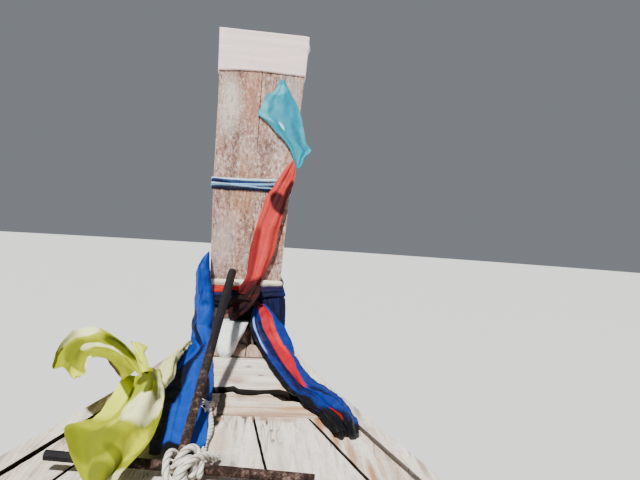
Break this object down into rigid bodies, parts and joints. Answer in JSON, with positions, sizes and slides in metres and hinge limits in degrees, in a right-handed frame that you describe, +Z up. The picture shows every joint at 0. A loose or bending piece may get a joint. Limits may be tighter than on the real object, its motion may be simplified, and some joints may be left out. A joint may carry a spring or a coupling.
{
  "type": "longtail boat",
  "caption": "Planked wooden longtail boat with a tall stem post hung with scarves, a canopy, an anchor on deck and a swivelling long-shaft engine.",
  "frame": {"origin": "on the waterline, on the centreline, amidships", "axes": "+X forward to the stem post, +Y to port, +Z up"},
  "size_m": [12.9493, 2.0964, 2.4939],
  "materials": {
    "hull_paint": "worn",
    "post_wood": "weathered",
    "deck_wood": "weathered",
    "warm_wood": "weathered",
    "rail_wood": "weathered",
    "cap_paint": "chalky",
    "white_paint": "chalky",
    "anchor_iron": "rusty",
    "canopy_tube": "galvanised",
    "canopy_cloth": "faded",
    "tank_plastic": "scuffed",
    "engine_paint": "oily",
    "engine_steel": "rusty",
    "propeller_bronze": "worn",
    "rope": "matte",
    "turquoise_cloth": "sheen",
    "red_cloth": "matte",
    "blue_cloth": "sheen",
    "striped_cloth": "sheen",
    "yellow_cloth": "sheen",
    "ribbon_cloth": "sheen",
    "wrap_cloth": "matte"
  },
  "bodies": {
    "hull": {"strake_port_1": "hull_paint", "strake_port_2": "hull_paint", "strake_port_3": "hull_paint", "strake_port_3_aft": "hull_paint", "strake_port_4": "hull_paint", "strake_port_5": "hull_paint", "strake_starboard_1": "hull_paint", "strake_starboard_2": "hull_paint", "strake_starboard_3": "hull_paint", "strake_starboard_3_aft": "hull_paint", "strake_starboard_4": "hull_paint", "strake_starboard_5": "hull_paint", "gunwale_port": "rail_wood", "gunwale_starboard": "rail_wood", "covering_board_port": "warm_wood", "covering_board_starboard": "warm_wood", "deck_board_port": "deck_wood", "deck_board_starboard": "deck_wood", "deck_board_outer_port": "deck_wood", "deck_board_outer_starboard": "deck_wood", "canopy_side_port": "canopy_tube", "canopy_side_starboard": "canopy_tube", "keel": "hull_paint", "stem_post": "post_wood", "stem_cap": "cap_paint", "stem_knee": "white_paint", "bow_block": "post_wood", "deck_plank_fore": "deck_wood", "deck_plank_cross": "warm_wood", "transom": "hull_paint", "stern_beam": "warm_wood", "frames": "warm_wood", "floorboards": "deck_wood", "benches": "warm_wood", "aft_deck": "deck_wood", "canopy_bows": "canopy_tube", "canopy_cloth": "canopy_cloth", "fuel_tank": "tank_plastic", "anchor": "anchor_iron", "rope_knot": "rope", "rope_end": "rope", "anchor_rope": "rope", "rope_coil": "rope", "post_ribbon": "ribbon_cloth", "base_wrap": "wrap_cloth", "scarf_turquoise": "turquoise_cloth", "scarf_red": "red_cloth", "sash_port": "blue_cloth", "sash_starboard": "striped_cloth", "scarf_yellow": "yellow_cloth"},
    "yoke": {"swivel_yoke": "engine_steel"},
    "engine": {"engine_cradle": "engine_steel", "engine_block": "engine_paint", "engine_head": "engine_paint", "exhaust": "engine_steel", "pulleys": "engine_steel", "alternator": "engine_steel", "tiller": "engine_steel", "tail_tube": "engine_steel"},
    "screw": {"propeller": "propeller_bronze"}
  },
  "joints": [
    {"name": "engine_swivel", "type": "hinge", "parent": "hull", "child": "yoke", "pos_m": [-4.62, 0, 0.655], "axis": [0, 0, 1], "range_deg": [-60, 60]},
    {"name": "engine_tilt", "type": "hinge", "parent": "yoke", "child": "engine", "pos_m": [-4.62, 0, 1.01], "axis": [0, 1, 0], "range_deg": [-4, 16]},
    {"name": "propeller_spin", "type": "hinge", "parent": "engine", "child": "screw", "pos_m": [-7.68317, 0, -0.07646], "axis": [0.9455, 0, 0.3256], "continuous": true}
  ]
}
